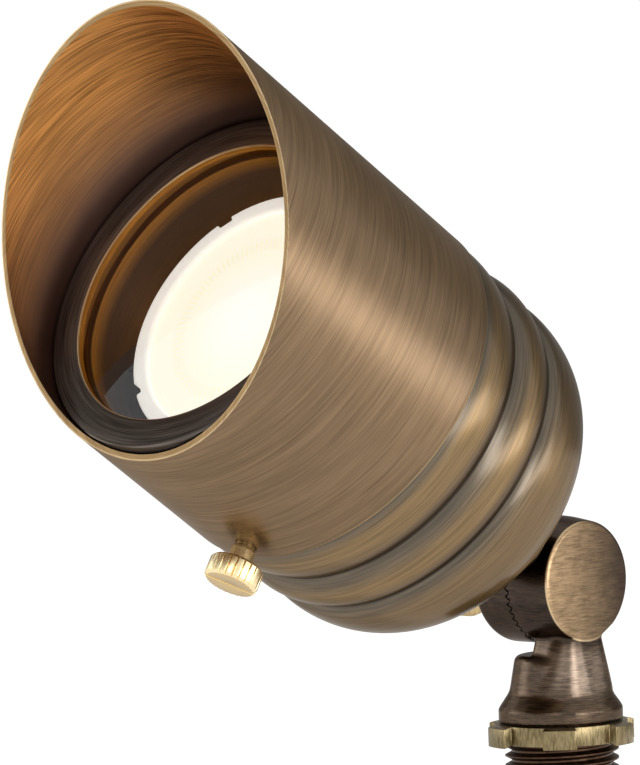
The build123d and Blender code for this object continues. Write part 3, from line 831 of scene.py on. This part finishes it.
# %% Locknut
plated_brass, plated_tree, plated_shader, plated_spot = new_finish("plated_brass", on_head=False)
scored = node(plated_tree, "Mapping", Vector=plated_spot, Scale=(1.0, 1.0, 0.16))
pits = noise(plated_tree, scored.outputs[0], 3.0, 5.0, 0.6)
stains = noise(plated_tree, plated_spot, 0.5, 3.0)
pit_share = stretch_range(plated_tree, pits, 0, 1, 0.3, 0.66)
plated_dark, plated_light = (0.1, 0.077, 0.034, 1), (0.33, 0.26, 0.14, 1)
feed(
    plated_tree,
    plated_shader,
    Base_Color=blend_colours(plated_tree, pit_share, plated_dark, plated_light),
    Metallic=1.0,
    Roughness=stretch_range(plated_tree, stains, 0.26, 0.42),
)
roughen(plated_tree, plated_shader, pits, 0.012)

lobe_turn, lobe_step, lobe_half = 11.3, 60, 13
lobe_push, lobe_tip = 1.7, 0.4
nut_bore, nut_radius, nut_low, nut_high = 9.5, 12.5, 0.65, 4.25
nut_outline = [(nut_bore, nut_low), (nut_radius, nut_low)]
nut_outline += [(nut_radius, nut_high), (nut_bore, nut_high)]
nut = turned("lobed_locknut", nut_outline)


def on_lobe(at, n):
    turn = (degrees(atan2(at.y, at.x)) - lobe_turn) % lobe_step
    return min(turn, lobe_step - turn) < lobe_half and outward(at, n) > 6


choose_faces(nut, on_lobe)
bpy.ops.object.mode_set(mode="EDIT")
bpy.ops.mesh.extrude_region_shrink_fatten(TRANSFORM_OT_shrink_fatten={"value": lobe_push * mm})
bpy.ops.transform.translate(value=(0, 0, -lobe_tip * mm))
bpy.ops.object.mode_set(mode="OBJECT")
soften(nut, 0.14)
finish_faces(nut, plated_brass)
place(nut, stem_place, "locknut", "locknut")

# %% [markdown]
# The pipe thread is a real helix here: one ridge of its profile, one pitch high, is swept by a
# screw modifier that climbs as it turns. Two bisects cut the ends square and close them, and a
# boolean drills the wire way.

# %% Thread helix
thread_pitch, thread_turns = 1.814, 10
crest_radius, root_radius = 10.65, 9.45
thread_start, thread_bottom, thread_top = -16.6, -13.0, 0.0
wire_radius = 6
ridge = [(root_radius, 0), (root_radius, 0.16), (crest_radius, 0.78), (crest_radius, 1.03)]
ridge += [(root_radius, 1.65), (root_radius, thread_pitch)]
thread = drawn("pipe_thread", [(radius, height + thread_start) for radius, height in ridge])
bpy.ops.object.mode_set(mode="OBJECT")
modify(
    thread,
    "SCREW",
    angle=2 * pi,
    screw_offset=thread_pitch * mm,
    iterations=thread_turns,
    steps=coarse_steps,
    render_steps=coarse_steps,
    use_merge_vertices=True,
    merge_threshold=weld_gap,
)
pick(thread)
bpy.ops.object.mode_set(mode="EDIT")
for height, outer_side in ((thread_bottom, -1), (thread_top, 1)):
    bpy.ops.mesh.select_all(action="SELECT")
    bpy.ops.mesh.bisect(
        plane_co=(0, 0, height * mm),
        plane_no=(0, 0, outer_side),
        use_fill=True,
        clear_outer=True,
        threshold=0.0005 * mm,
    )
weld()
print("the thread has", len(thread.data.polygons), "faces before it is drilled")

# %% Threaded nipple
bore_outline = [(0, -20), (wire_radius, -20), (wire_radius, 20), (0, 20)]
cut_away(thread, turned("bore_cutter", bore_outline, coarse_steps))
neck_end, stub_radius, stub_end = 4.5, 7.6, 10.5
neck_outline = [(wire_radius, 0), (root_radius, 0), (root_radius, neck_end)]
neck_outline += [(stub_radius, neck_end), (stub_radius, stub_end), (wire_radius, stub_end)]
neck = turned("nipple_neck", neck_outline, coarse_steps)
pick(thread)
neck.select_set(True)
bpy.ops.object.join()

thread_bronze, thread_tree, thread_shader, thread_spot = new_finish("thread_bronze", on_head=False)
wear = noise(thread_tree, thread_spot, 0.8, 5.0)
wear_share = stretch_range(thread_tree, wear, 0, 1)
thread_dark, thread_light = (0.05, 0.028, 0.017, 1), (0.12, 0.07, 0.045, 1)
feed(
    thread_tree,
    thread_shader,
    Base_Color=blend_colours(thread_tree, wear_share, thread_dark, thread_light),
    Metallic=1.0,
    Roughness=stretch_range(thread_tree, wear, 0.3, 0.45),
)
roughen(thread_tree, thread_shader, wear, 0.02)
finish_faces(thread, thread_bronze)
place(thread, stem_place, "stem", "threaded_nipple")

# %% [markdown]
# The two halves of the knuckle are castings in darkened brass, with level brushing lines and the
# mottle of the mould showing through. The blank face of the lower half has painted light: paler
# towards the front, with a painted highlight round its edge. The outer side of the neck is painted
# paler as a highlight, and the barrel of each disc darker as painted shade. All are found from the
# distance to the tilt axis, so no extra geometry is needed for them.

# %% Knuckle finish
cast_tint = (0.5, 0.42, 0.35, 1)
mould_share = 0.3


def cast_finish(name, on_head):
    finish, tree, shader, spot = new_finish(name, on_head)
    x, y, z = split(tree, spot)
    reach = off_axis(tree, y, z)
    lines = brush(tree, spot, 0.16, 0.0, 4.0)[0]
    mixed = weigh(tree, noise(tree, spot, 0.35, 6.0, 0.62), mould_share, lines)
    streaks = stretch_range(tree, mixed, 0, 1, 0.4, 0.6)

    def streaked(dark, light):
        return blend_colours(tree, streaks, dark, light)

    skin = streaked((0.034, 0.022, 0.0135, 1), (0.115, 0.074, 0.044, 1))
    # Painted shade: the barrel of each disc is darker
    shaded_barrel_skin = streaked((0.018, 0.011, 0.007, 1), (0.06, 0.037, 0.023, 1))
    on_barrel = stretch_range(tree, reach, 1, 0, 11.9, 13.2)
    skin = blend_colours(tree, on_barrel, skin, shaded_barrel_skin)
    if not on_head:
        # Painted highlight: the outer side of the stem's neck is paler, where the key light falls
        below_disc = stretch_range(tree, reach, 0, 1, 12.3, 14.5)
        above_flange = stretch_range(tree, reach, 1, 0, 19.5, 22.5)
        outer_side = stretch_range(tree, x, 0, 1, 0.0, 4.0)
        on_neck = math(tree, "MULTIPLY", below_disc, above_flange)
        painted_neck_highlight = math(tree, "MULTIPLY", on_neck, outer_side)
        neck_highlight_skin = streaked((0.085, 0.06, 0.042, 1), (0.25, 0.185, 0.135, 1))
        skin = blend_colours(tree, painted_neck_highlight, skin, neck_highlight_skin)
    blank_side = stretch_range(tree, x, 0, 1, 7.2, 7.5)
    within_disc = stretch_range(tree, reach, 1, 0, 11.2, 11.4)
    on_face = math(tree, "MULTIPLY", blank_side, within_disc)
    # Painted light: the blank face is paler towards the front and darker towards the back
    painted_light_share = stretch_range(tree, y, 1, 0, -10.5, 9.0)
    face_dark = blend_colours(tree, painted_light_share, (0.036, 0.022, 0.013, 1), (0.25, 0.16, 0.08, 1))
    face_light = blend_colours(tree, painted_light_share, (0.066, 0.04, 0.024, 1), (0.54, 0.365, 0.2, 1))
    colour = blend_colours(tree, on_face, skin, streaked(face_dark, face_light))
    # Painted highlight round the face's edge, brightest on its lit side
    near_edge = stretch_range(tree, reach, 0, 1, 10.9, 11.12)
    painted_edge_highlight = math(tree, "MULTIPLY", math(tree, "MULTIPLY", near_edge, painted_light_share), on_face)
    feed(
        tree,
        shader,
        Base_Color=blend_colours(tree, painted_edge_highlight, colour, (0.8, 0.6, 0.36, 1)),
        Metallic=1.0,
        Roughness=stretch_range(tree, mixed, 0.24, 0.38),
        Specular_Tint=cast_tint,
        Coat_Weight=0.35,
        Coat_Roughness=0.2,
    )
    roughen(tree, shader, mixed, 0.02)
    comb(tree, shader, straight_up, 0.4)
    return finish


def dress(name, finish):
    frame["nodes"][name].material_slots[0].material = finish


stem_brass = cast_finish("stem_brass", False)
knuckle_brass = cast_finish("knuckle_brass", True)
dress("head_knuckle", knuckle_brass)
dress("knuckle_washer", polished_brass)
print("knuckle finishes:", stem_brass.name, knuckle_brass.name)

# %% [markdown]
# In a casting the metal flows round inner corners in soft fillets, which the solid, made of
# crossing shapes, lacks where its neck meets the disc and the flange. A copy of the solid is
# merged and skinned anew by a fine voxel remesh. Then the points round those corners are smoothed
# a lot and the rest of the skin a little, by two vertex groups, so the teeth stay crisp.

# %% Stem half of the knuckle
voxel = 0.26
stem_half = bpy.data.objects.new("cast_stem_half", frame["nodes"]["stem_knuckle"].data.copy())
bpy.context.collection.objects.link(stem_half)
pick(stem_half)
bpy.ops.object.mode_set(mode="EDIT")
bpy.ops.mesh.select_all(action="SELECT")
bpy.ops.mesh.remove_doubles(threshold=0.001 * mm)
bpy.ops.object.mode_set(mode="OBJECT")
modify(stem_half, "REMESH", mode="VOXEL", voxel_size=voxel * mm)
corners = stem_half.vertex_groups.new(name="cast_corners")
skin = stem_half.vertex_groups.new(name="cast_skin")
for point in stem_half.data.vertices:
    # Measured from the pivot: the neck's top meets the disc, and its foot the flange
    at = (point.co - pivot) / mm
    neck_top = -15.5 < at.z < -8.6 and -0.8 < at.x and (at.x < 6.2 or -4.2 < at.y < 6.8)
    neck_foot = -24.0 < at.z < -18.5
    if neck_top or neck_foot:
        corners.add([point.index], 1.0, "REPLACE")
    if at.x > -0.6 or at.z < -12.6:
        skin.add([point.index], 1.0, "REPLACE")
modify(stem_half, "SMOOTH", factor=0.5, iterations=30, vertex_group="cast_corners")
modify(stem_half, "SMOOTH", factor=0.5, iterations=3, vertex_group="cast_skin")
stem_half.vertex_groups.clear()
stem_half.data.materials.clear()
finish_faces(stem_half, stem_brass)
place(stem_half, stem_place, "stem", "stem_knuckle", 50)

# %% [markdown]
# Inside, the solids keep their shapes, and each gets a plain finish with a little grain: black
# rubber, brown silicone under the glass, a green board, ceramic, tinned contacts and a steel
# strap. The silicone is a bright amber, in part its own colour and in part painted light that
# makes its shaded band match the lit copper wall round it, and it shows as an amber band through
# the glass; the rest shows only when the lens ring is off or in a cut view.

# %% Hidden pieces
def plain_finish(name, low, high, scale, metallic, roughness):
    finish, tree, shader, spot = new_finish(name)
    grain = noise(tree, spot, scale, 4.0)
    feed(
        tree,
        shader,
        Base_Color=blend_colours(tree, grain, low, high),
        Metallic=metallic,
        Roughness=stretch_range(tree, grain, roughness - 0.06, roughness + 0.06),
    )
    roughen(tree, shader, grain, 0.02)
    return finish


# Each row: the finish, its dark and light, grain, metallic, roughness, and the nodes that wear it
hidden = [
    ("black_rubber", (0.012, 0.012, 0.012, 1), (0.03, 0.03, 0.03, 1), 1.5, 0, 0.7,
     ["shroud_oring", "knuckle_seal", "wire_grommet"]),
    # Partly painted light: the gasket is bright amber so that its shaded band reads like the lit
    # wall
    ("brown_silicone", (0.42, 0.18, 0.045, 1), (0.56, 0.25, 0.065, 1), 1.5, 0, 0.55,
     ["lens_gasket"]),
    ("lamp_shell", (0.7, 0.69, 0.66, 1), (0.8, 0.79, 0.76, 1), 0.6, 0, 0.45,
     ["lamp_body", "lamp_base"]),
    ("green_board", (0.02, 0.1, 0.04, 1), (0.03, 0.16, 0.07, 1), 0.9, 0, 0.5,
     ["lamp_board"]),
    ("ceramic", (0.68, 0.66, 0.6, 1), (0.78, 0.76, 0.7, 1), 0.5, 0, 0.35,
     ["lamp_socket"]),
    ("tinned_metal", (0.5, 0.5, 0.5, 1), (0.68, 0.68, 0.67, 1), 1.2, 1, 0.3,
     ["lamp_pins", "socket_contacts"]),
    ("strap_steel", (0.36, 0.36, 0.37, 1), (0.5, 0.5, 0.5, 1), 0.8, 1, 0.35,
     ["socket_bracket", "socket_screws"]),
    ("nut_bronze", (0.08, 0.06, 0.04, 1), (0.16, 0.12, 0.08, 1), 0.8, 1, 0.4,
     ["knuckle_jam_nut"]),
]
for *recipe, wearers in hidden:
    finish = plain_finish(*recipe)
    for name in wearers:
        dress(name, finish)
print("hidden finishes:", len(hidden))

# %% [markdown]
# The picture was taken from far off with a long lens, a little above level, so a short lens close
# by would bend the tube. The camera is laid out from the pivot: its turn round the stem, its
# height and a small roll.

# %% Camera
turn_round, look_down, roll = radians(44.49), radians(3.51), radians(1.95)
picture_width, picture_height, focal_pixels = 640, 765, 7000
pivot_pixel = Vector((556.5, 579.2))
distance, sensor_size = 1.30636, 36
toward = Vector((sin(turn_round), -cos(turn_round), 0))
level = Vector((cos(turn_round), sin(turn_round), 0))
back = cos(look_down) * toward + sin(look_down) * straight_up
rise = cos(look_down) * straight_up - sin(look_down) * toward
right = cos(roll) * level - sin(roll) * rise
up = sin(roll) * level + cos(roll) * rise
sideways = (pivot_pixel.x - picture_width / 2) / focal_pixels * distance
downward = (pivot_pixel.y - picture_height / 2) / focal_pixels * distance
eye = pivot + back * distance - right * sideways + up * downward

bpy.ops.object.select_all(action="DESELECT")
bpy.ops.object.camera_add()
camera = bpy.context.object
camera.data.sensor_width = sensor_size
camera.data.lens = focal_pixels * sensor_size / picture_height
camera.data.clip_start = 0.05
camera.data.clip_end = 200
camera.matrix_world = Matrix.Translation(eye) @ Matrix((right, up, back)).transposed().to_4x4()
bpy.context.scene.camera = camera
print("camera at", [round(v, 4) for v in eye], "lens", round(camera.data.lens, 1))

# %% [markdown]
# A pale floor and a white surround. For the camera, for reflections and for glass the surround is
# plain white at strength 1; the light that it gives to dull surfaces is softer. The floor is lit
# like any white board, and for the camera it also glows a little, so that it stays near white and
# still shows a soft shadow.

# %% Floor and surround
floor_height, floor_shade, floor_glow = -0.0135, 0.82, 0.62
dull_strength = 0.5


def seen_directly(tree):
    path = node(tree, "LightPath")
    either = math(tree, "MAXIMUM", path.outputs["Is Camera Ray"], path.outputs["Is Glossy Ray"])
    return math(tree, "MAXIMUM", either, path.outputs["Is Transmission Ray"])


world = bpy.context.scene.world or bpy.data.worlds.new("studio")
bpy.context.scene.world = world
world.use_nodes = True
sky = world.node_tree
sky.nodes.clear()
strength = math(sky, "MULTIPLY_ADD", seen_directly(sky), 1 - dull_strength, dull_strength)
surround = node(sky, "Background", Color=(1, 1, 1, 1), Strength=strength)
node(sky, "OutputWorld", Surface=surround.outputs[0])

bpy.ops.object.select_all(action="DESELECT")
bpy.ops.mesh.primitive_plane_add(size=80, location=(0, 0, floor_height))
floor = bpy.context.object
floor.name = "studio_floor"
floor_white = bpy.data.materials.new("floor_white")
floor_white.use_nodes = True
floor_tree = floor_white.node_tree
floor_tree.nodes.clear()
matt = node(floor_tree, "BsdfDiffuse", Color=(floor_shade, floor_shade, floor_shade, 1))
glow_seen = math(floor_tree, "MULTIPLY", seen_directly(floor_tree), floor_glow)
shine = node(floor_tree, "Emission", Color=(1, 1, 1, 1), Strength=glow_seen)
both = node(floor_tree, "AddShader", _0=matt.outputs[0], _1=shine.outputs[0])
node(floor_tree, "OutputMaterial", Surface=both.outputs[0])
floor.data.materials.append(floor_white)
print("floor", floor.name, "at", floor.location.z)

# %% [markdown]
# Four soft lamps and three cards. Metal shows its surroundings as shapes, so each one is placed
# for the reflection it makes: a long low box behind on the right draws the bright line down the
# shroud, and a dark card behind keeps the upper side of the tube deep brown, as a black flag does
# in a studio. Another card dims what the glass mirrors, and the third what the metal sees of the
# floor.

# %% Lamps
def softbox(name, at, target, width, height, radiance):
    bpy.ops.object.select_all(action="DESELECT")
    bpy.ops.object.light_add(type="AREA", location=at)
    lamp = bpy.context.object
    lamp.name = name
    lamp.data.shape = "RECTANGLE"
    lamp.data.size = width
    lamp.data.size_y = height
    lamp.data.energy = radiance * pi * width * height
    lamp.visible_camera = False
    lamp.rotation_euler = (Vector(target) - Vector(at)).to_track_quat("-Z", "Y").to_euler()


shroud_middle = pivot + aim * 0.1
strip_target = shroud_middle + aim * 0.05
strip_at = strip_target + Vector((0.2, 0.152, -0.062))
softbox("side_strip", strip_at, strip_target, 0.18, 0.055, 2.8)
softbox("right_key", pivot + Vector((0.62, -0.1, 0.12)), pivot, 0.2, 0.3, 5.0)
softbox("front_fill", (0.5, -0.9, 0.7), shroud_middle, 0.5, 0.5, 2.0)
softbox("left_fill", (-0.9, -0.6, 0.35), shroud_middle, 0.5, 0.5, 2.0)
print("lamps placed round", [round(v, 3) for v in shroud_middle])

# %% Cards
def card(name, at, target, width, height, shade):
    bpy.ops.object.select_all(action="DESELECT")
    bpy.ops.mesh.primitive_plane_add(size=1, location=at)
    made = bpy.context.object
    made.name = name
    made.scale = (width, height, 1)
    made.rotation_euler = (Vector(target) - Vector(at)).to_track_quat("Z", "Y").to_euler()
    paper = bpy.data.materials.new(name)
    paper.use_nodes = True
    tree = paper.node_tree
    tree.nodes.clear()
    tone = node(tree, "Emission", Color=(shade, shade, shade, 1), Strength=1.0)
    node(tree, "OutputMaterial", Surface=tone.outputs[0])
    made.data.materials.append(paper)
    made.visible_camera = False
    made.visible_diffuse = False
    made.visible_shadow = False
    made.visible_transmission = False
    print(name, "is", width, "by", height, "m")


card("dark_card", shroud_middle + Vector((-0.25, 0.5, 0.12)), shroud_middle, 1.3, 0.56, 0.36)
card("glass_card", shroud_middle + Vector((-0.35, -0.16, 0.32)), shroud_middle, 0.3, 0.3, 0.2)
floor_spot = Vector((-0.36, 0.25, floor_height + 0.001))
card("floor_card", floor_spot, floor_spot + straight_up, 0.7, 0.61, 0.75)

# %% [markdown]
# The picture keeps its colours as they are mixed, without a film look.

# %% Picture settings
bpy.context.scene.view_settings.view_transform = "Standard"
